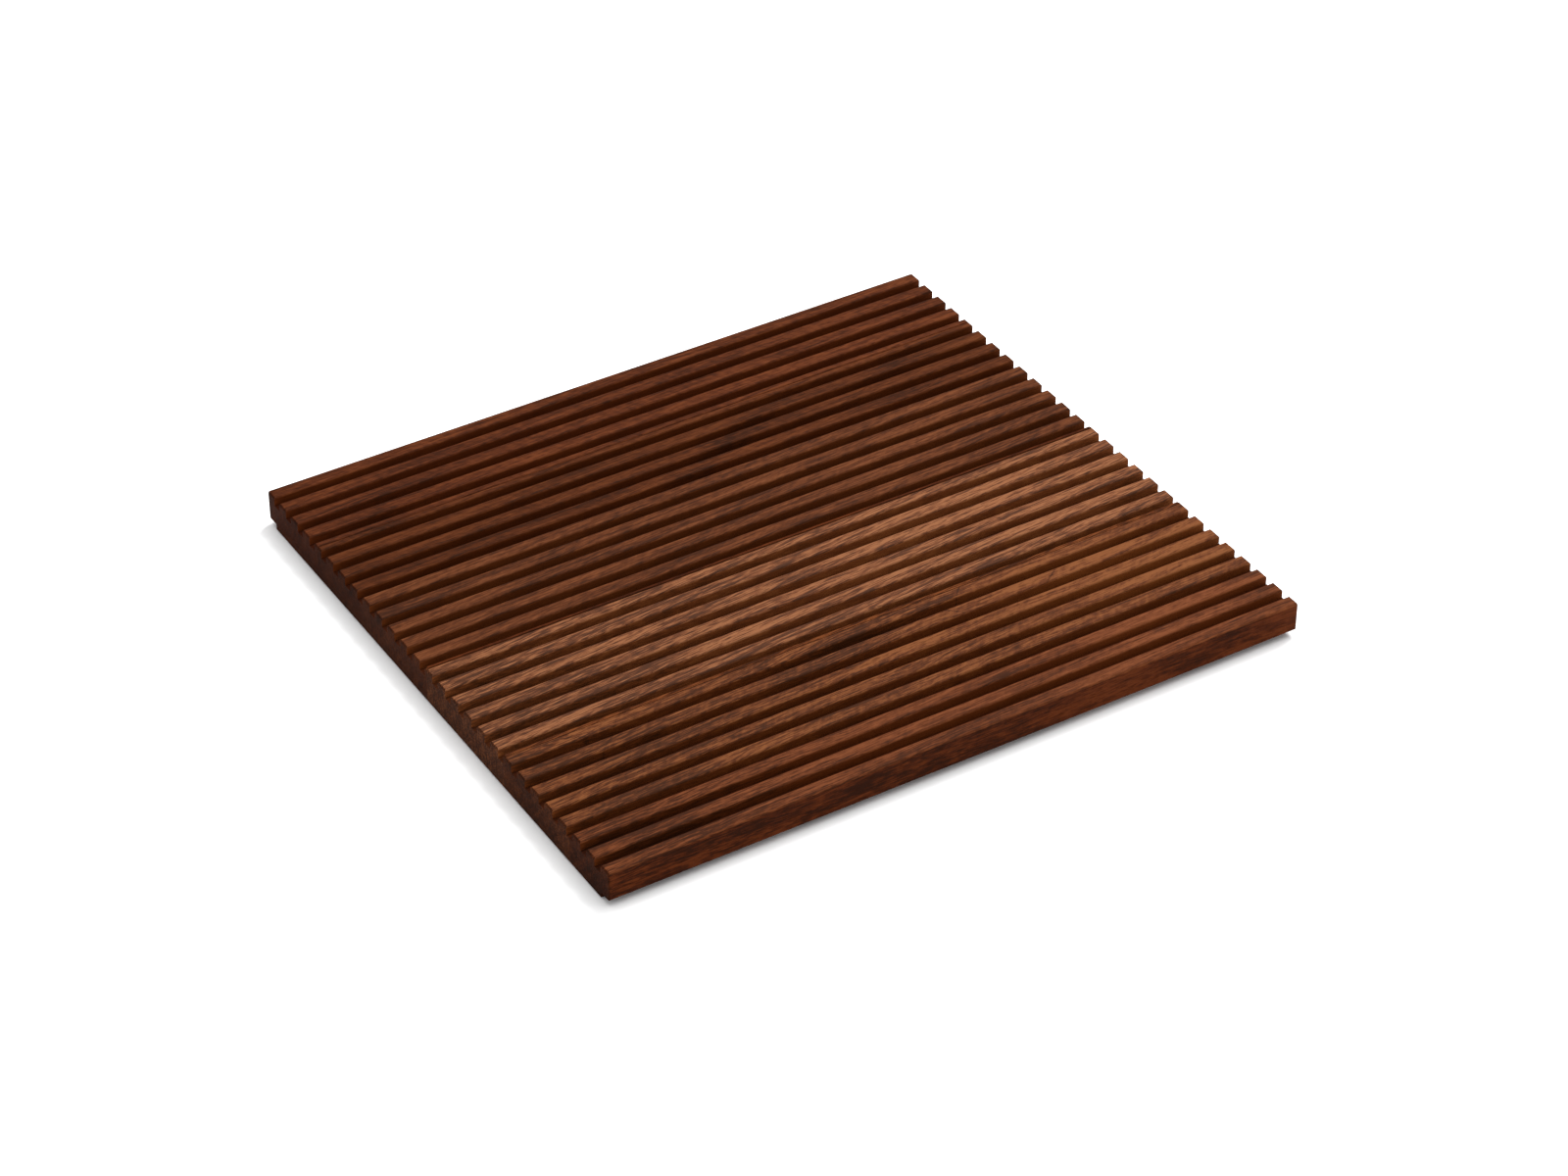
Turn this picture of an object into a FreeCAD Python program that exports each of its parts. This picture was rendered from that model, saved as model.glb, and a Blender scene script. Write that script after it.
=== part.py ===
"""Wooden bath mat: six walnut boards glued edge to edge, ribbed on top, on six silicone feet.

Frame: +X along the grain and the ribs, +Y towards the back edge, +Z up.
The origin is under the middle of the mat, on the surface that it stands on.
All sizes are in millimetres.
"""
import FreeCAD, Part
import math
import os

from FreeCAD import Vector

# Overall sizes
LENGTH = 563.5625              # along the grain
PANEL_THICKNESS = 28.575       # rib tops to the underside of the boards

# Ribs and drainage grooves, which run the whole length
RIB_COUNT = 27
RIB_WIDTH = 11.1125
GROOVE_WIDTH = 7.9375
GROOVE_DEPTH = 7.14375

# Edges
RIB_ARRIS = 0.396875           # rounding of the long top edges of every rib
END_ARRIS = 2.0                # rounding of the top edges across the mat's two ends
BOTTOM_ARRIS = 0.5             # rounding of the outer bottom edges
CORNER_RADIUS = 1.5875         # the mat's four corners, seen from above

# Finger relief: a step under the front and back edges, to lift the mat by
RELIEF_HEIGHT = 4.7625
RELIEF_WIDTH = 11.1125

# Feet: round silicone pads in blind recesses in the underside
FOOT_DIAMETER = 15.0
FOOT_PROUD = 1.0               # how far a foot stands below the boards
FOOT_SEAT_DEPTH = 2.0          # how deep a foot sits in its board
FOOT_EDGE_ROUND = 0.4          # rounding of the foot's bottom edge
FOOT_CLEARANCE = 0.15          # gap round a foot in its recess
FOOT_END_INSET = 45.0          # from the mat's end to the centre of an end foot
FOOT_SIDE_INSET = 32.0         # from the mat's side to the centres of a row of feet

SAME_PLACE = 1e-4              # two heights or points nearer than this are the same

PITCH = RIB_WIDTH + GROOVE_WIDTH
WIDTH = RIB_COUNT * PITCH - GROOVE_WIDTH
HALF_LENGTH = LENGTH / 2
HALF_WIDTH = WIDTH / 2
UNDERSIDE = FOOT_PROUD
RIB_TOP = UNDERSIDE + PANEL_THICKNESS
GROOVE_FLOOR = RIB_TOP - GROOVE_DEPTH
LEDGE = UNDERSIDE + RELIEF_HEIGHT


def in_rib(number, share):
    """Return the y of a line inside a rib: share 0 is the rib's back side and 1 its front side."""
    return HALF_WIDTH - (number - 1) * PITCH - share * RIB_WIDTH


def in_groove(number, share):
    """Return the y of a line inside the groove in front of the rib of that number."""
    return in_rib(number, 1) - share * GROOVE_WIDTH


# The boards from back to front, each with the y of its front side: a glue line or the mat's edge
BOARDS = (
    ("board_back", in_rib(5, 0.5)),
    ("board_back_inner", in_groove(8, 0.5)),
    ("board_middle_back", in_rib(14, 0.2)),
    ("board_middle_front", in_rib(20, 0.1)),
    ("board_front_inner", in_groove(24, 0.5)),
    ("board_front", -HALF_WIDTH),
)

FOOT_PLACES = (
    ("left", -HALF_LENGTH + FOOT_END_INSET),
    ("middle", 0.0),
    ("right", HALF_LENGTH - FOOT_END_INSET),
)
FOOT_ROWS = (
    ("back", HALF_WIDTH - FOOT_SIDE_INSET),
    ("front", -HALF_WIDTH + FOOT_SIDE_INSET),
)


class Outline:
    """A closed outline in the plane x = 0, drawn as straight runs and quarter rounds."""

    def __init__(self, y, z):
        self.edges = []
        self.start = Vector(0, y, z)
        self.end = self.start

    def line_to(self, y, z):
        """Draw a straight run to a point, unless the outline is already there."""
        point = Vector(0, y, z)
        if point.distanceToPoint(self.end) > SAME_PLACE:
            self.edges.append(Part.LineSegment(self.end, point).toShape())
        self.end = point

    def round_to(self, y, z, corner_y, corner_z):
        """Draw a quarter round to a point, bulging towards the corner that it replaces."""
        point = Vector(0, y, z)
        corner = Vector(0, corner_y, corner_z)
        centre = self.end + point - corner
        radius = centre.distanceToPoint(point)
        crown = centre + (corner - centre).normalize() * radius
        self.edges.append(Part.Arc(self.end, crown, point).toShape())
        self.end = point

    def face(self):
        """Close the outline and return it as a face."""
        self.line_to(self.start.y, self.start.z)
        return Part.Face(Part.Wire(self.edges))


def comb_section():
    """Return the whole mat's section across the ribs, with the relief under both sides."""
    relief_wall = HALF_WIDTH - RELIEF_WIDTH
    outline = Outline(-relief_wall, UNDERSIDE)
    outline.line_to(relief_wall, UNDERSIDE)
    outline.line_to(relief_wall, LEDGE)
    outline.line_to(HALF_WIDTH - BOTTOM_ARRIS, LEDGE)
    outline.round_to(HALF_WIDTH, LEDGE + BOTTOM_ARRIS, HALF_WIDTH, LEDGE)
    for number in range(1, RIB_COUNT + 1):
        back = in_rib(number, 0)
        front = in_rib(number, 1)
        outline.line_to(back, RIB_TOP - RIB_ARRIS)
        outline.round_to(back - RIB_ARRIS, RIB_TOP, back, RIB_TOP)
        outline.line_to(front + RIB_ARRIS, RIB_TOP)
        outline.round_to(front, RIB_TOP - RIB_ARRIS, front, RIB_TOP)
        if number < RIB_COUNT:
            outline.line_to(front, GROOVE_FLOOR)
            outline.line_to(in_rib(number + 1, 0), GROOVE_FLOOR)
    outline.line_to(-HALF_WIDTH, LEDGE + BOTTOM_ARRIS)
    outline.round_to(-HALF_WIDTH + BOTTOM_ARRIS, LEDGE, -HALF_WIDTH, LEDGE)
    outline.line_to(-relief_wall, LEDGE)
    return outline.face()


def end_envelope():
    """Return the block that gives the boards their length and rounds their ends and corners."""
    block = Part.makeBox(LENGTH, WIDTH, PANEL_THICKNESS, Vector(-HALF_LENGTH, -HALF_WIDTH, UNDERSIDE))
    rounded_ends = block.makeFillet(END_ARRIS, end_edges(block, RIB_TOP))
    rounded_ends = rounded_ends.makeFillet(BOTTOM_ARRIS, end_edges(rounded_ends, UNDERSIDE))
    return rounded_ends.common(block.makeFillet(CORNER_RADIUS, upright_edges(block)))


def upright_edges(block):
    """Return the four upright edges of a block."""
    return [edge for edge in block.Edges if edge.BoundBox.ZLength > PANEL_THICKNESS - SAME_PLACE]


def edges_at(solid, height):
    """Return the edges of a solid that lie at a height."""
    return [
        edge for edge in solid.Edges
        if math.isclose(edge.BoundBox.ZMin, height, abs_tol=SAME_PLACE)
        and math.isclose(edge.BoundBox.ZMax, height, abs_tol=SAME_PLACE)
    ]


def end_edges(block, height):
    """Return the two edges across a block's ends at a height."""
    return [edge for edge in edges_at(block, height) if edge.BoundBox.XLength < SAME_PLACE]


def foot_recesses():
    """Return the recesses for all feet as one tool to cut from the boards."""
    radius = FOOT_DIAMETER / 2 + FOOT_CLEARANCE
    recesses = []
    for _, y in FOOT_ROWS:
        for _, x in FOOT_PLACES:
            recesses.append(Part.makeCylinder(radius, FOOT_SEAT_DEPTH, Vector(x, y, UNDERSIDE)))
    return Part.makeCompound(recesses)


def make_board(section, envelope, recesses, back, front):
    """Return one board: the mat between two glue lines."""
    strip = Part.makePlane(back - front, RIB_TOP, Vector(0, front, 0), Vector(1, 0, 0), Vector(0, 1, 0))
    board_section = section.common(strip)
    blank = board_section.extrude(Vector(LENGTH, 0, 0))
    blank.translate(Vector(-HALF_LENGTH, 0, 0))
    board = blank.common(envelope).cut(recesses).removeSplitter()
    return board.Solids[0]


def make_foot(x, y):
    """Return one foot, whose top is glued to the roof of its recess."""
    foot = Part.makeCylinder(FOOT_DIAMETER / 2, FOOT_SEAT_DEPTH + FOOT_PROUD, Vector(x, y, 0))
    return foot.makeFillet(FOOT_EDGE_ROUND, edges_at(foot, 0))


def export(node, shape):
    """Check one piece and write its STEP file."""
    if not shape.isValid() or len(shape.Solids) != 1:
        raise ValueError(f"{node} is not one valid solid")
    shape.exportStep(f"parts/{node}.step")
    box = shape.BoundBox
    print(f"{node}: {box.XLength:.2f} x {box.YLength:.2f} x {box.ZLength:.2f} mm, {shape.Volume:.0f} mm3")


def main():
    """Build every piece and write it to the parts folder."""
    os.makedirs("parts", exist_ok=True)
    section = comb_section()
    envelope = end_envelope()
    recesses = foot_recesses()
    back = HALF_WIDTH
    for node, front in BOARDS:
        export(node, make_board(section, envelope, recesses, back, front))
        back = front
    for row, y in FOOT_ROWS:
        for place, x in FOOT_PLACES:
            export(f"foot_{row}_{place}", make_foot(x, y))


main()
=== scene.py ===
"""Looks of the walnut bath mat: six glued boards with ribs on top, standing on six silicone feet.

Every size is in metres unless its name ends in _mm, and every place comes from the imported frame.
+X runs along the grain, +Y towards the back edge and +Z up.
"""

import logging
import math
from dataclasses import dataclass, field
from enum import Enum
from typing import Any, Callable

import bmesh
import bpy
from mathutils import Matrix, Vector

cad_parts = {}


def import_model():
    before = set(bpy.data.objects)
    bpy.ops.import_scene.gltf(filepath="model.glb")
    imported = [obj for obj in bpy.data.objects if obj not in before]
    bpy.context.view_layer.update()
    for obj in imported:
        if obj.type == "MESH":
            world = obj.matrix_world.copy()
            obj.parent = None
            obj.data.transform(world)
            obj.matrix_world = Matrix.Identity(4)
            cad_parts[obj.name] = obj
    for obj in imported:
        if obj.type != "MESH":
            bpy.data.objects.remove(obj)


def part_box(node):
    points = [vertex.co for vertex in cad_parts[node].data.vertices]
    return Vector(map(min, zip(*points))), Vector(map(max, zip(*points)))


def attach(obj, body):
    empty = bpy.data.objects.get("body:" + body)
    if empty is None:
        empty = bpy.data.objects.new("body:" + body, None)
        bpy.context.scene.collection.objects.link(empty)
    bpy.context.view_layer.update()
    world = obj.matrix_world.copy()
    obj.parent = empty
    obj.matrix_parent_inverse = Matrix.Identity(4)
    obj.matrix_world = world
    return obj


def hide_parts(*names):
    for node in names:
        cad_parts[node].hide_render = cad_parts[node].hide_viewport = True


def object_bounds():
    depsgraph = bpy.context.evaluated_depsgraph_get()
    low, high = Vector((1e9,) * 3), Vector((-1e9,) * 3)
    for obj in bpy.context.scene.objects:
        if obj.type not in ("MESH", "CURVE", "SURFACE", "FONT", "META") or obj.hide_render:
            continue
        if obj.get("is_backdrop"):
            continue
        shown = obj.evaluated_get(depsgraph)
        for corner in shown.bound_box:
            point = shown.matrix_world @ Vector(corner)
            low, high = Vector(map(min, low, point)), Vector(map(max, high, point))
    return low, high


MM = 0.001
BODY = "root"
# Two places nearer than this are the same
NEAR = 0.02 * MM
# A face is level when its normal points this much up or down
LEVEL = 0.99
# A face looks some way when its normal points at least this much that way
HALF_TURNED = 0.5
# Faces that meet at less than this are shaded as one
SMOOTH_BELOW = math.radians(35)

Tree = bpy.types.NodeTree
Span = tuple[float, float]
Size = tuple[float, float, float]

log = logging.getLogger("bath_mat")


# --- Small tools -----------------------------------------------------------------------------


def linear(hex_colour: str) -> tuple[float, float, float, float]:
    """Turn an sRGB hex colour into a linear colour.

    Args:
        hex_colour: The colour as "#RRGGBB".

    Returns:
        Red, green, blue and alpha, as the shader sockets take them.
    """
    shares = [int(hex_colour[i:i + 2], 16) / 255 for i in (1, 3, 5)]
    red, green, blue = (s / 12.92 if s <= 0.04045 else ((s + 0.055) / 1.055) ** 2.4 for s in shares)
    return red, green, blue, 1.0


def add_node(tree: Tree, kind: str, inputs: dict[Any, Any] | None = None, **settings: Any) -> Any:
    """Add a node, set it up and link it.

    Args:
        tree: The node tree that takes the node.
        kind: The node's type name.
        inputs: Socket name or index to a value, or to the output socket that feeds it.
        **settings: The node's own properties.

    Returns:
        The new node.
    """
    node = tree.nodes.new(kind)
    for name, value in settings.items():
        setattr(node, name, value)
    for socket, value in (inputs or {}).items():
        if isinstance(value, bpy.types.NodeSocket):
            tree.links.new(value, node.inputs[socket])
        else:
            node.inputs[socket].default_value = value
    return node


def select_in_edit(kind: str, wanted: Callable[[Any], bool]) -> int:
    """Select the parts of the mesh in edit mode that a test picks, and nothing else.

    Args:
        kind: "faces" or "edges".
        wanted: The test, which is given a face or an edge.

    Returns:
        How many were selected.
    """
    bpy.ops.mesh.select_mode(type="FACE" if kind == "faces" else "EDGE")
    bpy.ops.mesh.select_all(action="DESELECT")
    mesh = bmesh.from_edit_mesh(bpy.context.edit_object.data)
    chosen = [part for part in getattr(mesh, kind) if wanted(part)]
    for part in chosen:
        part.select = True
    mesh.select_flush_mode()
    bmesh.update_edit_mesh(bpy.context.edit_object.data)
    return len(chosen)


def start_block(name: str, low: Vector, high: Vector) -> bpy.types.Object:
    """Add a block with its place in its mesh, and go into edit mode on it.

    Args:
        name: The new object's name.
        low: The block's lowest corner.
        high: The block's highest corner.

    Returns:
        The block.
    """
    bpy.ops.object.select_all(action="DESELECT")
    bpy.ops.mesh.primitive_cube_add(size=1, location=(low + high) / 2, scale=high - low)
    block = bpy.context.object
    block.name = name
    block.data.name = name
    bpy.ops.object.transform_apply(location=True, rotation=True, scale=True)
    bpy.ops.object.mode_set(mode="EDIT")
    return block


def select_object(piece: bpy.types.Object) -> None:
    """Select one object and nothing else, and make it the active one.

    Args:
        piece: The object.
    """
    bpy.ops.object.select_all(action="DESELECT")
    piece.select_set(True)
    bpy.context.view_layer.objects.active = piece


def cut_across(y: float) -> None:
    """Cut the mesh in edit mode along the plane at a y."""
    bpy.ops.mesh.select_all(action="SELECT")
    bpy.ops.mesh.bisect(plane_co=(0, y, 0), plane_no=(0, 1, 0))


def apply_modifier(piece: bpy.types.Object, kind: str, **settings: Any) -> None:
    """Add a modifier to a piece and apply it.

    Args:
        piece: The object, which becomes the active one.
        kind: The modifier's type name.
        **settings: The modifier's properties.
    """
    bpy.context.view_layer.objects.active = piece
    modifier = piece.modifiers.new(kind.lower(), kind)
    for name, value in settings.items():
        setattr(modifier, name, value)
    bpy.ops.object.modifier_apply(modifier=modifier.name)


# --- Finishes --------------------------------------------------------------------------------


class Surface(Enum):
    """How one side of a board was worked, which changes how the same wood looks, and where painted
    light and shade go into its tint.
    """

    SANDED = "sanded_rib"
    MILLED_PAINTED_LIGHT = "milled_groove_painted_light"
    FLOOR = "groove_floor"
    PLANED_PAINTED_SHADE = "planed_side_painted_shade"
    SAWN_END = "end_grain"


@dataclass(frozen=True)
class SurfaceLook:
    """What working the wood does to its colour and gloss.

    The tint multiplies the wood's own colour and holds painted light on the groove walls and
    painted shade on the groove floors and outer sides; the figure multiplies the strength of its
    grain.
    """

    tint: str
    roughness: float
    bump: float
    figure: float
    specular: float = 0.03


SURFACE_LOOKS = {
    # Sanded fine and oiled twice, so the tops are deep in colour with hardly any sheen
    Surface.SANDED: SurfaceLook(tint="#E2E2E2", roughness=0.6, bump=0.3, figure=1.0),
    # Cut by a router: matte, with a faint figure
    # Painted light: the tint makes the groove walls lighter and more orange than the tops
    Surface.MILLED_PAINTED_LIGHT: SurfaceLook(tint="#FFEFC8", roughness=0.75, bump=0.2, figure=0.3),
    # The bottoms of the grooves: darkest, with painted shade in the tint where the ribs hide them
    # from the light
    Surface.FLOOR: SurfaceLook(tint="#8F7B63", roughness=0.8, bump=0.2, figure=0.3),
    # Planed along the sides and underneath, with a strong figure; the tint paints shade on them,
    # darker than the tops
    Surface.PLANED_PAINTED_SHADE: SurfaceLook(tint="#B8A080", roughness=0.68, bump=0.3, figure=1.2),
    # Open end grain drinks the most oil: darker, greyer and matte
    Surface.SAWN_END: SurfaceLook(tint="#A2968C", roughness=0.75, bump=0.5, figure=0.8),
}


@dataclass(frozen=True)
class FigureBand:
    """A cloud in the wood, such as the shadow that a swirl of grain leaves across the ribs.

    It is an ellipse on the mat, turned by an angle from the grain. It darkens the wood where its
    strength is above nought, and brightens it where that is below.
    """

    x_mm: float
    y_mm: float
    half_length_mm: float
    half_width_mm: float
    turn_deg: float
    strength: float


@dataclass(frozen=True)
class Walnut:
    """Black walnut, planed and oiled, as one board's own solid colour and grain.

    The pattern is solid, so tops, groove walls and end grain agree where they meet. The colours
    run from the pores and smoky figure through the usual tone to the bright streaks.
    """

    name: str
    dark: str
    mid: str
    light: str
    slope_deg: float = 0.0
    wave_mm: float = 2.0
    seed_mm: float = 0.0
    broad: float = 0.5
    streak: float = 0.7
    fleck: float = 0.22
    curl: float = 0.2
    curl_turn_deg: float = 50.0
    ring: float = 0.3
    pores: float = 0.5
    contrast: float = 1.0
    bands: tuple[FigureBand, ...] = ()

    # Sizes in the wood along, across and through the board
    broad_size_mm = (110.0, 22.0, 22.0)
    streak_size_mm = (45.0, 1.9, 9.0)
    # Single fibres are thinner: the flecks are bundles, drawn as coarse as they need to show
    fleck_size_mm = (12.0, 0.9, 1.2)
    curl_size_mm = (9.0, 3.2, 4.0)
    # Real pores are narrower: these are drawn wide enough to show
    pore_size_mm = (9.0, 0.8, 0.8)
    wave_size_mm = (170.0, 45.0, 45.0)
    ring_width_mm = 5.5
    pith_place_mm = (90.0, -160.0)

    # Noise strays by about a quarter either way, so this makes a wave as high as wave_mm
    wave_gain = 4.0
    # How much of the streaks, flecks, curls and pores is fine detail
    detail_share = 0.55
    # Where the flecks and the pores fade in on their noise
    fleck_span = (0.38, 0.62)
    pore_span = (0.57, 0.7)
    # Where the dark, the usual and the light colour lie among the tones
    dark_tone = 0.2
    mid_tone = 0.5
    light_tone = 0.8
    # A band fades out over this span, as shares of its half sizes, and the flecks break its edge
    band_span = (0.25, 1.35)
    band_break = 0.5
    # Pores are duller than the wood round them, and the fibres stand this high
    pore_dulling = 0.25
    fibre_height_mm = 0.08
    refraction = 1.5

    def material(self, surface: Surface) -> bpy.types.Material:
        """Make this board's material for one kind of surface.

        Args:
            surface: How that side of the board was worked.

        Returns:
            The material.
        """
        look = SURFACE_LOOKS[surface]
        material = bpy.data.materials.new(f"{self.name}_{surface.value}")
        material.use_nodes = True
        tree = material.node_tree
        tree.nodes.clear()
        place = add_node(tree, "ShaderNodeTexCoord").outputs["Object"]
        grain = self._grain_space(tree, place)
        fleck = self._fade_in(
            tree, self._noise(tree, grain, self.fleck_size_mm, detail=3.0), self.fleck_span
        )
        pores = self._pores(tree, grain)
        tone = self._tone(tree, grain, fleck, self.contrast * look.figure)
        for band in self.bands:
            shift = self._band(tree, place, band, fleck)
            tone = add_node(
                tree, "ShaderNodeMath", {0: tone, 1: shift}, operation="SUBTRACT"
            ).outputs[0]
        colour = self._ramp(tree, tone)
        sunk = self._scaled(tree, pores, self.pores * look.figure)
        colour = self._shade(tree, colour, self.dark, sunk)
        colour = add_node(
            tree, "ShaderNodeMix", {"Factor": 1.0, 6: colour, 7: linear(look.tint)},
            data_type="RGBA", blend_type="MULTIPLY",
        ).outputs[2]
        self._surface_shader(tree, look, colour, fleck, pores)
        return material

    def _grain_space(self, tree: Tree, place: Any) -> Any:
        """Turn a place on the mat into one along this board's wavy grain.

        Args:
            tree: The material's nodes.
            place: The place on the mat in metres.

        Returns:
            The place in the wood in millimetres: along, across and through the board.
        """
        straight = add_node(
            tree, "ShaderNodeMapping",
            {"Vector": place, "Scale": (1 / MM,) * 3,
             "Rotation": (0, 0, math.radians(-self.slope_deg)),
             "Location": (self.seed_mm, self.seed_mm, self.seed_mm)},
        ).outputs[0]
        scaled = self._stretched(tree, straight, self.wave_size_mm)
        drift = add_node(
            tree, "ShaderNodeTexNoise", {"Vector": scaled, "Scale": 1.0, "Detail": 2.0}
        ).outputs["Color"]
        centred = add_node(
            tree, "ShaderNodeVectorMath", {0: drift, 1: (0.5, 0.5, 0.5)}, operation="SUBTRACT"
        ).outputs[0]
        drift_mm = self.wave_gain * self.wave_mm
        return add_node(
            tree, "ShaderNodeVectorMath", {0: centred, 1: (0.0, drift_mm, drift_mm), 2: straight},
            operation="MULTIPLY_ADD",
        ).outputs[0]

    def _stretched(self, tree: Tree, place: Any, size: Size) -> Any:
        """Count a place in blobs of a size.

        Args:
            tree: The material's nodes.
            place: The place, in the unit of the size.
            size: One blob's three sides.

        Returns:
            The place in blobs.
        """
        per_blob = tuple(1 / side for side in size)
        return add_node(
            tree, "ShaderNodeVectorMath", {0: place, 1: per_blob}, operation="MULTIPLY"
        ).outputs[0]

    def _noise(self, tree: Tree, grain: Any, size: Size, detail: float) -> Any:
        """Make a noise whose blobs have a size along, across and through the board.

        Args:
            tree: The material's nodes.
            grain: The place in the wood in millimetres.
            size: One blob's three sides in millimetres.
            detail: How many finer layers the noise has.

        Returns:
            The noise, from 0 to 1.
        """
        return add_node(
            tree, "ShaderNodeTexNoise",
            {"Vector": self._stretched(tree, grain, size), "Scale": 1.0, "Detail": detail,
             "Roughness": self.detail_share},
        ).outputs["Fac"]

    def _fade_in(self, tree: Tree, noise: Any, span: Span) -> Any:
        """Give a noise crisp edges, as bundles of fibres have.

        Args:
            tree: The material's nodes.
            noise: The noise.
            span: Where on the noise the result is 0, and where it is 1.

        Returns:
            The noise, stretched over the span.
        """
        return add_node(
            tree, "ShaderNodeMapRange", {"Value": noise, "From Min": span[0], "From Max": span[1]}
        ).outputs[0]

    def _curl(self, tree: Tree, grain: Any) -> Any:
        """Make the short ripples that run across the grain where the fibres are wavy.

        Args:
            tree: The material's nodes.
            grain: The place in the wood in millimetres.

        Returns:
            The ripples, from 0 to 1.
        """
        turned = add_node(
            tree, "ShaderNodeMapping",
            {"Vector": grain, "Rotation": (0, 0, math.radians(-self.curl_turn_deg))},
        ).outputs[0]
        return self._noise(tree, turned, self.curl_size_mm, detail=2.0)

    def _pores(self, tree: Tree, grain: Any) -> Any:
        """Return 1 in the open pores, which are short dark dashes on a face and dots on an end."""
        cells = self._noise(tree, grain, self.pore_size_mm, detail=1.0)
        return self._fade_in(tree, cells, self.pore_span)

    def _rings(self, tree: Tree, grain: Any) -> Any:
        """Make the uneven bands of the growth rings round the heart of the tree.

        Args:
            tree: The material's nodes.
            grain: The place in the wood in millimetres.

        Returns:
            The rings, from 0 to 1.
        """
        per_ring = 1 / self.ring_width_mm
        pith = (0.0, *(place * per_ring for place in self.pith_place_mm))
        from_pith = add_node(
            tree, "ShaderNodeVectorMath", {0: grain, 1: (0.0, per_ring, per_ring), 2: pith},
            operation="MULTIPLY_ADD",
        ).outputs[0]
        radius = add_node(
            tree, "ShaderNodeVectorMath", {0: from_pith}, operation="LENGTH"
        ).outputs["Value"]
        return add_node(
            tree, "ShaderNodeTexNoise", {"W": radius, "Scale": 1.0, "Detail": 2.0},
            noise_dimensions="1D",
        ).outputs["Fac"]

    def _tone(self, tree: Tree, grain: Any, fleck: Any, contrast: float) -> Any:
        """Add up all the wood's noises into one tone.

        Args:
            tree: The material's nodes.
            grain: The place in the wood in millimetres.
            fleck: The flecks, from 0 to 1.
            contrast: How strongly all the noises show.

        Returns:
            The tone, round the middle tone.
        """
        tones = (
            (fleck, self.fleck * contrast),
            (self._noise(tree, grain, self.streak_size_mm, detail=2.0), self.streak * contrast),
            (self._noise(tree, grain, self.broad_size_mm, detail=1.0), self.broad * contrast),
            (self._curl(tree, grain), self.curl * contrast),
            (self._rings(tree, grain), self.ring * contrast),
        )
        total: Any = self.mid_tone - sum(gain for _, gain in tones) / 2
        for value, gain in tones:
            total = add_node(
                tree, "ShaderNodeMath", {0: value, 1: gain, 2: total}, operation="MULTIPLY_ADD"
            ).outputs[0]
        return total

    def _ramp(self, tree: Tree, tone: Any) -> Any:
        """Colour a tone, from dark through the usual colour to light.

        Args:
            tree: The material's nodes.
            tone: The tone.

        Returns:
            The colour.
        """
        ramp = add_node(tree, "ShaderNodeValToRGB", {"Fac": tone})
        stops = ramp.color_ramp.elements
        stops[0].position, stops[0].color = self.dark_tone, linear(self.dark)
        stops[1].position, stops[1].color = self.light_tone, linear(self.light)
        stops.new(self.mid_tone).color = linear(self.mid)
        return ramp.outputs["Color"]

    def _band(self, tree: Tree, place: Any, band: FigureBand, fleck: Any) -> Any:
        """Make a figure band, with an edge that the flecks break up.

        Args:
            tree: The material's nodes.
            place: The place on the mat in metres.
            band: The band.
            fleck: The flecks, from 0 to 1.

        Returns:
            What the band takes off the tone.
        """
        local = add_node(
            tree, "ShaderNodeMapping",
            {"Vector": place, "Location": (band.x_mm * MM, band.y_mm * MM, 0.0),
             "Rotation": (0, 0, math.radians(band.turn_deg)),
             "Scale": (band.half_length_mm * MM, band.half_width_mm * MM, 1.0)},
            vector_type="TEXTURE",
        ).outputs[0]
        flat = add_node(
            tree, "ShaderNodeVectorMath", {0: local, 1: (1.0, 1.0, 0.0)}, operation="MULTIPLY"
        ).outputs[0]
        reach = add_node(
            tree, "ShaderNodeVectorMath", {0: flat}, operation="LENGTH"
        ).outputs["Value"]
        broken = add_node(
            tree, "ShaderNodeMath", {0: fleck, 1: self.band_break, 2: reach},
            operation="MULTIPLY_ADD",
        ).outputs[0]
        return add_node(
            tree, "ShaderNodeMapRange",
            {"Value": broken, "From Min": self.band_span[0], "From Max": self.band_span[1],
             "To Min": band.strength, "To Max": 0.0},
            interpolation_type="SMOOTHSTEP",
        ).outputs[0]

    def _scaled(self, tree: Tree, value: Any, gain: float) -> Any:
        """Return a value times a gain."""
        return add_node(
            tree, "ShaderNodeMath", {0: value, 1: gain}, operation="MULTIPLY"
        ).outputs[0]

    def _shade(self, tree: Tree, colour: Any, towards: str, share: Any) -> Any:
        """Return a colour moved by a share towards another."""
        return add_node(
            tree, "ShaderNodeMix", {"Factor": share, 6: colour, 7: linear(towards)},
            data_type="RGBA",
        ).outputs[2]

    def _surface_shader(
        self, tree: Tree, look: SurfaceLook, colour: Any, fleck: Any, pores: Any
    ) -> None:
        """Add the shader, which is duller and sunk in the pores.

        Args:
            tree: The material's nodes.
            look: What working this side of the board did to it.
            colour: The wood's colour.
            fleck: The flecks, from 0 to 1.
            pores: The pores, from 0 to 1.
        """
        dullest = min(1.0, look.roughness + self.pore_dulling)
        roughness = add_node(
            tree, "ShaderNodeMapRange",
            {"Value": pores, "To Min": look.roughness, "To Max": dullest},
        ).outputs[0]
        height = add_node(
            tree, "ShaderNodeMath", {0: pores, 1: -1.0, 2: fleck}, operation="MULTIPLY_ADD"
        ).outputs[0]
        bump = add_node(
            tree, "ShaderNodeBump",
            {"Height": height, "Strength": look.bump, "Distance": self.fibre_height_mm * MM},
        ).outputs[0]
        shader = add_node(
            tree, "ShaderNodeBsdfPrincipled",
            {"Base Color": colour, "Roughness": roughness, "Normal": bump, "IOR": self.refraction,
             "Specular IOR Level": look.specular},
        ).outputs[0]
        add_node(tree, "ShaderNodeOutputMaterial", {"Surface": shader})


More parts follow.
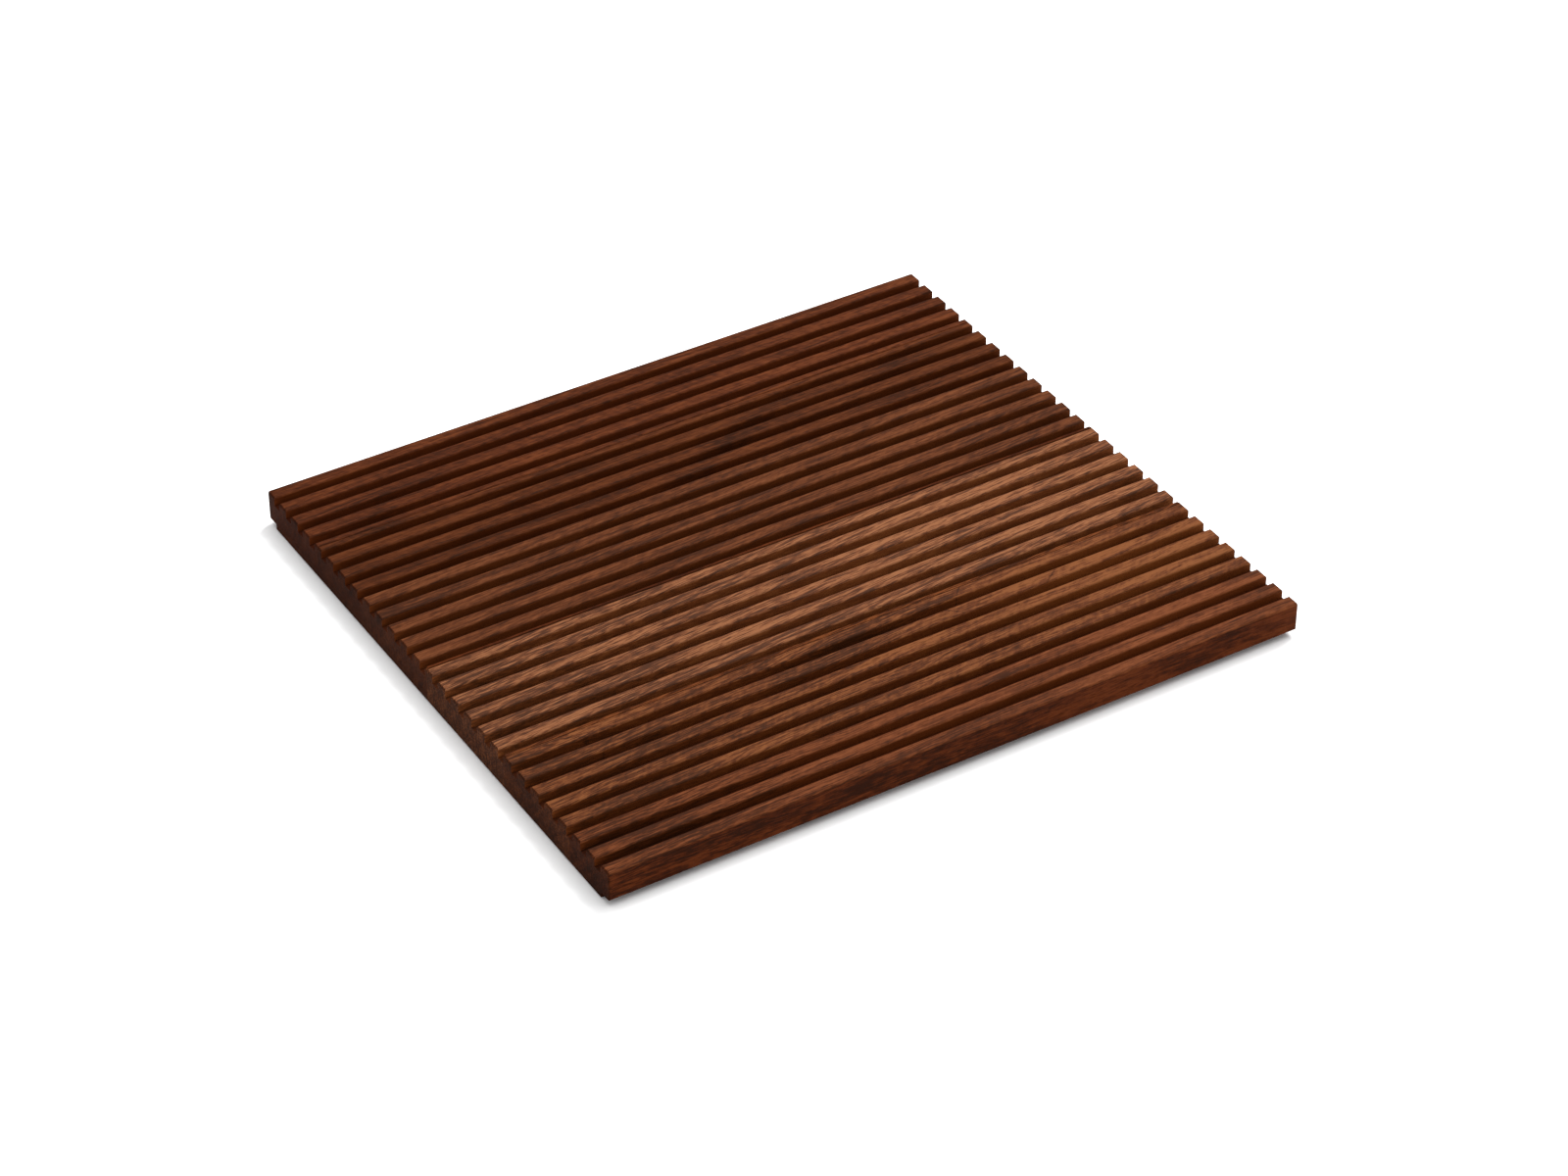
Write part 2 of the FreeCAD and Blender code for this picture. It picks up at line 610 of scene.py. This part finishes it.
@dataclass(frozen=True)
class Silicone:
    """Moulded silicone rubber, dark grey: soft, slightly dusty, with almost no highlight."""

    name: str = "moulded_silicone"
    colour: str = "#2B2A29"
    dust: str = "#3C3A37"
    grain_mm: float = 0.35
    grain_height_mm: float = 0.05
    grain_bump: float = 0.3
    # A cloud of dust is as wide as this many grains, and it dulls the rubber over this span
    cloud_grains: float = 9.0
    roughness_span: Span = (0.62, 0.8)
    refraction: float = 1.41

    def material(self) -> bpy.types.Material:
        """Make the material.

        Returns:
            The material.
        """
        material = bpy.data.materials.new(self.name)
        material.use_nodes = True
        tree = material.node_tree
        tree.nodes.clear()
        place = add_node(tree, "ShaderNodeTexCoord").outputs["Object"]
        clouds_per_metre = 1 / (self.cloud_grains * self.grain_mm * MM)
        cloud = add_node(
            tree, "ShaderNodeTexNoise", {"Vector": place, "Scale": clouds_per_metre, "Detail": 3.0}
        ).outputs["Fac"]
        grains_per_metre = 1 / (self.grain_mm * MM)
        grain = add_node(
            tree, "ShaderNodeTexNoise", {"Vector": place, "Scale": grains_per_metre, "Detail": 1.0}
        ).outputs["Fac"]
        colour = add_node(
            tree, "ShaderNodeMix", {"Factor": cloud, 6: linear(self.colour), 7: linear(self.dust)},
            data_type="RGBA",
        ).outputs[2]
        glossiest, dullest = self.roughness_span
        roughness = add_node(
            tree, "ShaderNodeMapRange", {"Value": cloud, "To Min": glossiest, "To Max": dullest}
        ).outputs[0]
        bump = add_node(
            tree, "ShaderNodeBump",
            {"Height": grain, "Strength": self.grain_bump, "Distance": self.grain_height_mm * MM},
        ).outputs[0]
        shader = add_node(
            tree, "ShaderNodeBsdfPrincipled",
            {"Base Color": colour, "Roughness": roughness, "Normal": bump,
             "IOR": self.refraction},
        ).outputs[0]
        add_node(tree, "ShaderNodeOutputMaterial", {"Surface": shader})
        return material


# --- The mat's own sizes ---------------------------------------------------------------------


@dataclass(frozen=True)
class RibPattern:
    """The ribs and grooves, which repeat from the back edge to the front edge."""

    count: int = 27
    rib_width: float = 11.1125 * MM
    groove_width: float = 7.9375 * MM
    groove_depth: float = 7.14375 * MM
    back_edge: float = 0.0

    def rib(self, number: int) -> tuple[float, float]:
        """Return the y of a rib's back side and of its front side, counted from the back."""
        back = self.back_edge - (number - 1) * (self.rib_width + self.groove_width)
        return back, back - self.rib_width

    def on_rib(self, y: float) -> bool:
        """Tell whether a y lies on a rib and not over a groove."""
        return any(front < y < back for back, front in map(self.rib, range(1, self.count + 1)))


@dataclass(frozen=True)
class Edges:
    """How far each kind of edge is rounded."""

    corner: float = 1.5875 * MM
    end: float = 2.0 * MM
    rib: float = 0.396875 * MM
    bottom: float = 0.5 * MM
    segments: int = 6

    @property
    def widest(self) -> float:
        """The largest rounding, of which the others are shares."""
        return max(self.corner, self.end, self.rib, self.bottom)


@dataclass(frozen=True)
class FingerRelief:
    """The step under the mat's back and front edges."""

    width: float = 11.1125 * MM
    height: float = 4.7625 * MM


@dataclass
class Foot:
    """A round silicone foot with a dished sole, seated in a recess under a board."""

    node: str
    clearance: float = 0.15 * MM
    rim_width: float = 1.6 * MM
    dish: float = 0.35 * MM
    edge_round: float = 0.4 * MM
    edge_segments: int = 4
    sides: int = 72
    seat_centre: Vector = field(init=False)
    radius: float = field(init=False)
    top: float = field(init=False)

    def __post_init__(self) -> None:
        """Take the foot's place and size from its CAD node."""
        low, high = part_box(self.node)
        self.seat_centre = (low + high) / 2
        self.radius = (high.x - low.x) / 2
        self.top = high.z

    def build(self, material: bpy.types.Material) -> bpy.types.Object:
        """Model the foot and put it in place of its CAD node.

        Args:
            material: The silicone.

        Returns:
            The finished piece.
        """
        bpy.ops.object.select_all(action="DESELECT")
        centre = (self.seat_centre.x, self.seat_centre.y, self.top / 2)
        bpy.ops.mesh.primitive_cylinder_add(
            vertices=self.sides, radius=self.radius, depth=self.top, location=centre
        )
        foot = bpy.context.object
        foot.name = foot.data.name = f"{self.node}_moulded"
        bpy.ops.object.transform_apply(location=True, rotation=True, scale=True)
        bpy.ops.object.mode_set(mode="EDIT")
        select_in_edit("edges", lambda edge: all(vert.co.z < NEAR for vert in edge.verts))
        bpy.ops.mesh.bevel(offset=self.edge_round, segments=self.edge_segments)
        select_in_edit("faces", lambda face: face.normal.z < -LEVEL)
        bpy.ops.mesh.inset(thickness=self.rim_width)
        bpy.ops.mesh.inset(thickness=self.dish, depth=-self.dish)
        bpy.ops.mesh.inset(thickness=self.rim_width)
        bpy.ops.mesh.inset(thickness=self.dish, depth=self.dish)
        bpy.ops.object.mode_set(mode="OBJECT")
        foot.data.materials.append(material)
        bpy.ops.object.shade_smooth_by_angle(angle=SMOOTH_BELOW)
        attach(foot, BODY)
        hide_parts(self.node)
        return foot


@dataclass
class Board:
    """One board of the panel, with its ribs, its rounded edges and the recesses for its feet."""

    node: str
    walnut: Walnut
    pattern: RibPattern
    slot: str
    feet: tuple[Foot, ...] = ()
    edges: Edges = Edges()
    relief: FingerRelief = FingerRelief()
    low: Vector = field(init=False)
    high: Vector = field(init=False)

    # How much of its normal points up on a groove's floor and on a rib's top, and out on an end
    floor_turned = 0.9
    top_turned = 0.3
    end_turned = 0.6

    def __post_init__(self) -> None:
        """Take the board's place and size from its CAD node."""
        self.low, self.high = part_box(self.node)

    @property
    def groove_floor(self) -> float:
        """The height of the bottom of the grooves."""
        return self.high.z - self.pattern.groove_depth

    @property
    def sanded_above(self) -> float:
        """The height above which the wood was sanded after the grooves were cut."""
        return self.high.z - self.edges.end

    @property
    def outer_side(self) -> float | None:
        """The y of the mat's edge that this board carries, or None for an inner board."""
        last_front = self.pattern.rib(self.pattern.count)[1]
        if abs(self.high.y - self.pattern.back_edge) < NEAR:
            return self.high.y
        if abs(self.low.y - last_front) < NEAR:
            return self.low.y
        return None

    @property
    def relief_wall(self) -> float | None:
        """The y of the wall of the finger relief, or None for an inner board."""
        if self.outer_side is None:
            return None
        return self.outer_side - math.copysign(self.relief.width, self.outer_side)

    def build(self) -> bpy.types.Object:
        """Model the board and put it in place of its CAD node.

        Returns:
            The finished piece.
        """
        board = self._blank()
        self._raise_ribs()
        self._mark_edges()
        bpy.ops.object.mode_set(mode="OBJECT")
        apply_modifier(
            board, "BEVEL", limit_method="WEIGHT", width=self.edges.widest,
            segments=self.edges.segments, use_clamp_overlap=False,
        )
        self._cut_recesses(board)
        self._dress(board)
        bpy.ops.object.shade_smooth_by_angle(angle=SMOOTH_BELOW)
        apply_modifier(board, "WEIGHTED_NORMAL", keep_sharp=True)
        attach(board, BODY)
        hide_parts(self.node)
        return board

    def _blank(self) -> bpy.types.Object:
        """Start from the solid part under the grooves, with the step under an outer edge.

        Returns:
            The block, in edit mode.
        """
        low = Vector(self.low)
        high = Vector((self.high.x, self.high.y, self.groove_floor))
        if self.relief_wall is None:
            return start_block(f"{self.node}_walnut", low, high)
        low.z += self.relief.height
        block = start_block(f"{self.node}_walnut", low, high)
        wall = self.relief_wall
        cut_across(wall)
        select_in_edit(
            "faces",
            lambda face: face.normal.z < -LEVEL and abs(face.calc_center_median().y) < abs(wall),
        )
        move_down = {"value": (0, 0, -self.relief.height)}
        bpy.ops.mesh.extrude_region_move(TRANSFORM_OT_translate=move_down)
        return block

    def _raise_ribs(self) -> None:
        """Cut the top along the sides of each rib, and pull the ribs up."""
        for number in range(1, self.pattern.count + 1):
            for side in self.pattern.rib(number):
                if self.low.y + NEAR < side < self.high.y - NEAR:
                    cut_across(side)
        select_in_edit(
            "faces",
            lambda face: face.normal.z > LEVEL and self.pattern.on_rib(face.calc_center_median().y),
        )
        move_up = {"value": (0, 0, self.pattern.groove_depth)}
        bpy.ops.mesh.extrude_region_move(TRANSFORM_OT_translate=move_up)

    def _mark_edges(self) -> None:
        """Give each edge that is rounded its share of the widest rounding."""
        marks = (
            (self._is_mat_corner, self.edges.corner),
            (self._is_rib_side, self.edges.rib),
            (self._is_top_end, self.edges.end),
            (self._is_bottom_edge, self.edges.bottom),
        )
        for wanted, size in marks:
            if select_in_edit("edges", wanted):
                bpy.ops.transform.edge_bevelweight(value=size / self.edges.widest)

    def _is_mat_corner(self, edge: Any) -> bool:
        """Tell whether an edge is upright at a corner of the mat."""
        return all(self._at_end(vert) and self._at_side(vert) for vert in edge.verts)

    def _is_top_end(self, edge: Any) -> bool:
        """Tell whether an edge is the end of a rib's top."""
        return all(self._at_top(vert) and self._at_end(vert) for vert in edge.verts)

    def _is_rib_side(self, edge: Any) -> bool:
        """Tell whether an edge runs along the top of a rib, and isn't a glue line.

        Args:
            edge: The edge.

        Returns:
            Whether it does.
        """
        first, second = edge.verts
        along = abs(first.co.y - second.co.y) < NEAR
        on_top = self._at_top(first) and self._at_top(second)
        on_glue_line = any(abs(first.co.y - side) < NEAR for side in (self.low.y, self.high.y))
        return along and on_top and (self._at_side(first) or not on_glue_line)

    def _is_bottom_edge(self, edge: Any) -> bool:
        """Tell whether an edge crosses the bottom at the mat's end, or runs along the relief.

        Args:
            edge: The edge.

        Returns:
            Whether it does either.
        """
        first, second = edge.verts
        across = all(self._at_end(vert) and vert.co.z < self.low.z + NEAR for vert in edge.verts)
        level = max(first.co.z, second.co.z) < self.low.z + self.relief.height + NEAR
        return across or (level and self._at_side(first) and self._at_side(second))

    def _at_side(self, vert: Any) -> bool:
        """Tell whether a vertex is on the mat's back or front side."""
        return self.outer_side is not None and abs(vert.co.y - self.outer_side) < NEAR

    def _at_end(self, vert: Any) -> bool:
        """Tell whether a vertex is at one of the mat's ends."""
        return min(abs(vert.co.x - self.low.x), abs(vert.co.x - self.high.x)) < NEAR

    def _at_top(self, vert: Any) -> bool:
        """Tell whether a vertex is level with the tops of the ribs."""
        return abs(vert.co.z - self.high.z) < NEAR

    def _dress(self, board: bpy.types.Object) -> None:
        """Give each kind of surface its own finish of this board's wood, with painted light on the
        groove walls and painted shade on the groove floors, sides and underside.

        Args:
            board: The modelled board.
        """
        for surface in Surface:
            board.data.materials.append(self.walnut.material(surface))
        # Each finish goes over those before it
        tests = {
            Surface.MILLED_PAINTED_LIGHT: lambda face: True,
            Surface.FLOOR: self._is_groove_floor,
            Surface.PLANED_PAINTED_SHADE: self._is_outside,
            Surface.SANDED: self._is_rib_top,
            Surface.SAWN_END: lambda face: abs(face.normal.x) > self.end_turned,
        }
        select_object(board)
        bpy.ops.object.mode_set(mode="EDIT")
        for surface, wanted in tests.items():
            select_in_edit("faces", wanted)
            board.active_material_index = list(Surface).index(surface)
            bpy.ops.object.material_slot_assign()
        bpy.ops.object.mode_set(mode="OBJECT")

    def _reaches_top(self, face: Any) -> bool:
        """Tell whether a face reaches up to the sanded part of a rib."""
        return max(vert.co.z for vert in face.verts) > self.sanded_above

    def _is_groove_floor(self, face: Any) -> bool:
        """Tell whether a face is the bottom of a groove."""
        return face.normal.z > self.floor_turned and not self._reaches_top(face)

    def _is_rib_top(self, face: Any) -> bool:
        """Tell whether a face is a rib's top or part of the rounding along it."""
        return face.normal.z > self.top_turned and self._reaches_top(face)

    def _is_outside(self, face: Any) -> bool:
        """Tell whether a face is on the mat's back, front or underside.

        Args:
            face: The face.

        Returns:
            Whether it is.
        """
        if face.normal.z < -HALF_TURNED:
            return True
        if self.outer_side is None:
            return False
        near = abs(face.calc_center_median().y - self.outer_side) < self.relief.width
        return near and face.normal.y * math.copysign(1, self.outer_side) > HALF_TURNED

    def _cut_recesses(self, board: bpy.types.Object) -> None:
        """Cut the blind recess of each foot into the underside.

        Args:
            board: The board, with its edges rounded.
        """
        for foot in self.feet:
            centre = (foot.seat_centre.x, foot.seat_centre.y, foot.top / 2)
            bpy.ops.object.select_all(action="DESELECT")
            bpy.ops.mesh.primitive_cylinder_add(
                vertices=foot.sides, radius=foot.radius + foot.clearance, depth=foot.top,
                location=centre,
            )
            cutter = bpy.context.object
            apply_modifier(board, "BOOLEAN", operation="DIFFERENCE", solver="EXACT", object=cutter)
            bpy.data.objects.remove(cutter)
            select_object(board)


# --- The boards' own wood --------------------------------------------------------------------

# A band's numbers are its x and y, its half length and half width, its turn and its strength
WOODS = {
    # Deep reddish brown with faint smoky ripples, and a dull patch near the left corner
    "board_back": Walnut(
        "walnut_back", dark="#32170A", mid="#4D2410", light="#633319",
        slope_deg=2.0, wave_mm=3.0, seed_mm=310.0, curl=0.45, curl_turn_deg=-40.0, contrast=1.3,
        bands=(FigureBand(-225.0, 190.0, 60.0, 20.0, 10.0, 0.12),),
    ),
    # The darkest board: chocolate brown, crossed by two long smoky swirls
    "board_back_inner": Walnut(
        "walnut_back_inner", dark="#2F1609", mid="#4A230E", light="#5E3117",
        slope_deg=2.0, wave_mm=4.0, seed_mm=820.0, curl=0.35, curl_turn_deg=-40.0, contrast=1.3,
        bands=(
            FigureBand(40.0, 130.0, 150.0, 13.0, 24.0, 0.18),
            FigureBand(190.0, 150.0, 80.0, 14.0, 24.0, 0.15),
        ),
    ),
    # Even orange brown with a plain, quiet grain
    "board_middle_back": Walnut(
        "walnut_middle_back", dark="#381D10", mid="#562D17", light="#6D3E23",
        slope_deg=3.0, wave_mm=3.0, seed_mm=1330.0, curl=0.3, curl_turn_deg=30.0, contrast=1.5,
    ),
    # The palest: straight, with strong light and dark stripes, brighter to the right. A short dark
    # line crosses one rib, and its sliver of the rib at the glue line in front is darker
    "board_middle_front": Walnut(
        "walnut_middle_front", dark="#472B1D", mid="#6C3F27", light="#8A593A",
        slope_deg=5.0, wave_mm=1.5, seed_mm=1840.0, streak=1.0, fleck=0.36, curl=0.1, pores=0.7,
        contrast=1.8,
        bands=(
            FigureBand(110.0, -45.0, 210.0, 60.0, 4.0, -0.12),
            FigureBand(-250.0, -60.0, 130.0, 70.0, 0.0, 0.16),
            FigureBand(158.0, -57.0, 5.0, 1.0, -50.0, 0.4),
            FigureBand(140.0, -109.0, 220.0, 2.0, 0.0, 0.25),
        ),
    ),
    # Mottled: a dark cloud in the middle, golden to the right, with short fine mineral lines
    "board_front_inner": Walnut(
        "walnut_front_inner", dark="#3C2113", mid="#5C311A", light="#794828",
        slope_deg=3.0, wave_mm=4.0, seed_mm=2350.0, fleck=0.32, curl=0.35, curl_turn_deg=45.0,
        contrast=1.6,
        bands=(
            FigureBand(200.0, -150.0, 150.0, 60.0, 0.0, -0.3),
            FigureBand(-270.0, -150.0, 130.0, 60.0, 0.0, 0.12),
            FigureBand(-10.0, -118.0, 85.0, 20.0, 8.0, 0.25),
            FigureBand(-190.0, -135.0, 70.0, 9.0, -28.0, 0.12),
            FigureBand(-232.0, -116.0, 26.0, 1.2, -24.0, 0.35),
            FigureBand(-212.0, -132.0, 20.0, 1.1, 38.0, 0.35),
            FigureBand(84.0, -114.0, 14.0, 1.1, 48.0, 0.4),
            FigureBand(68.0, -133.0, 12.0, 1.0, -42.0, 0.35),
            FigureBand(152.0, -133.0, 13.0, 1.0, 35.0, 0.35),
        ),
    ),
    # Pinkish brown with a soft even grain, darker to the left
    "board_front": Walnut(
        "walnut_front", dark="#3A1E10", mid="#5A2E17", light="#723F23",
        slope_deg=2.0, wave_mm=2.0, seed_mm=2860.0, streak=0.6, fleck=0.24, contrast=1.7,
        bands=(
            FigureBand(-240.0, -225.0, 120.0, 40.0, 0.0, 0.28),
            FigureBand(180.0, -225.0, 230.0, 40.0, 0.0, -0.16),
        ),
    ),
}
# The slot of each board's material in the frame
SLOTS = {
    "board_back": "walnut_reddish",
    "board_back_inner": "walnut_brown",
    "board_middle_back": "walnut_orange",
    "board_middle_front": "walnut_pale",
    "board_front_inner": "walnut_mottled",
    "board_front": "walnut_pinkish",
}
# The feet that stand in each board, which are under the two outer ones
FEET = {
    "board_back": ("foot_back_left", "foot_back_middle", "foot_back_right"),
    "board_front": ("foot_front_left", "foot_front_middle", "foot_front_right"),
}


# --- The studio ------------------------------------------------------------------------------


@dataclass(frozen=True)
class Softbox:
    """A square lamp with a diffuser, whose place is counted from the middle of the mat."""

    name: str
    place: tuple[float, float, float]
    side: float
    watts: float

    def hang(self, centre: Vector) -> None:
        """Hang the lamp, turned towards the mat.

        Args:
            centre: The middle of the mat.
        """
        data = bpy.data.lights.new(self.name, "AREA")
        data.shape = "SQUARE"
        data.size = self.side
        data.energy = self.watts
        lamp = bpy.data.objects.new(self.name, data)
        bpy.context.scene.collection.objects.link(lamp)
        lamp.location = centre + Vector(self.place)
        lamp.rotation_euler = (centre - lamp.location).to_track_quat("-Z", "Y").to_euler()


@dataclass
class Studio:
    """A white floor, soft light from the right and from above, and a camera to the front left.

    The low and high corners are the mat's, and lengths are in metres.
    """

    low: Vector
    high: Vector
    floor_size: float = 14.0
    floor_white: float = 0.92
    room_light: float = 0.75
    azimuth_deg: float = 31.51
    elevation_deg: float = 36.96
    distance: float = 3.135
    lens_mm: float = 100.15
    aim_offset: tuple[float, float] = (-0.0101, -0.0302)
    softboxes: tuple[Softbox, ...] = (
        Softbox("key_softbox", place=(1.5, 0.6, 2.4), side=1.4, watts=92.0),
        Softbox("top_softbox", place=(0.2, -0.5, 2.7), side=2.6, watts=48.0),
    )

    @property
    def centre(self) -> Vector:
        """The middle of the mat."""
        return (self.low + self.high) / 2

    def build(self) -> None:
        """Make the floor, the lights and the camera."""
        self._floor()
        self._room()
        for softbox in self.softboxes:
            softbox.hang(self.centre)
        self._camera()
        bpy.context.scene.view_settings.view_transform = "Standard"

    def _floor(self) -> None:
        """Lay matte white paper."""
        bpy.ops.object.select_all(action="DESELECT")
        bpy.ops.mesh.primitive_plane_add(size=self.floor_size)
        floor = bpy.context.object
        floor.name = "studio_floor"
        material = bpy.data.materials.new("white_paper")
        material.use_nodes = True
        tree = material.node_tree
        tree.nodes.clear()
        white = (self.floor_white, self.floor_white, self.floor_white, 1.0)
        paper = add_node(tree, "ShaderNodeBsdfDiffuse", {"Color": white}).outputs[0]
        add_node(tree, "ShaderNodeOutputMaterial", {"Surface": paper})
        floor.data.materials.append(material)
        floor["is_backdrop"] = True

    def _room(self) -> None:
        """Fill the room with a little even light."""
        world = bpy.data.worlds.new("room_light")
        world.use_nodes = True
        bpy.context.scene.world = world
        tree = world.node_tree
        tree.nodes.clear()
        light = add_node(
            tree, "ShaderNodeBackground", {"Color": (1, 1, 1, 1), "Strength": self.room_light}
        ).outputs[0]
        add_node(tree, "ShaderNodeOutputWorld", {"Surface": light})

    def _camera(self) -> None:
        """Set the camera up in front of the mat, to its left."""
        azimuth, elevation = math.radians(self.azimuth_deg), math.radians(self.elevation_deg)
        forward = Vector((
            math.sin(azimuth) * math.cos(elevation),
            math.cos(azimuth) * math.cos(elevation),
            -math.sin(elevation),
        ))
        aim = self.centre + Vector((*self.aim_offset, 0.0))
        data = bpy.data.cameras.new("camera")
        data.lens = self.lens_mm
        camera = bpy.data.objects.new("camera", data)
        bpy.context.scene.collection.objects.link(camera)
        camera.location = aim - forward * self.distance
        camera.rotation_euler = forward.to_track_quat("-Z", "Y").to_euler()
        bpy.context.scene.camera = camera


def report(piece: bpy.types.Object) -> None:
    """Write a finished piece's name and face count to the log."""
    log.info("%s: %d faces", piece.name, len(piece.data.polygons))


def main() -> None:
    """Build the feet, the boards and the studio."""
    logging.basicConfig(level=logging.INFO, format="%(name)s: %(message)s")
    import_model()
    cad_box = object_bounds()
    Studio(*cad_box).build()
    pattern = RibPattern(back_edge=cad_box[1].y)
    silicone = Silicone().material()
    for node, walnut in WOODS.items():
        feet = tuple(Foot(name) for name in FEET.get(node, ()))
        for foot in feet:
            report(foot.build(silicone))
        report(Board(node, walnut, pattern, SLOTS[node], feet).build())


if __name__ == "__main__":
    main()
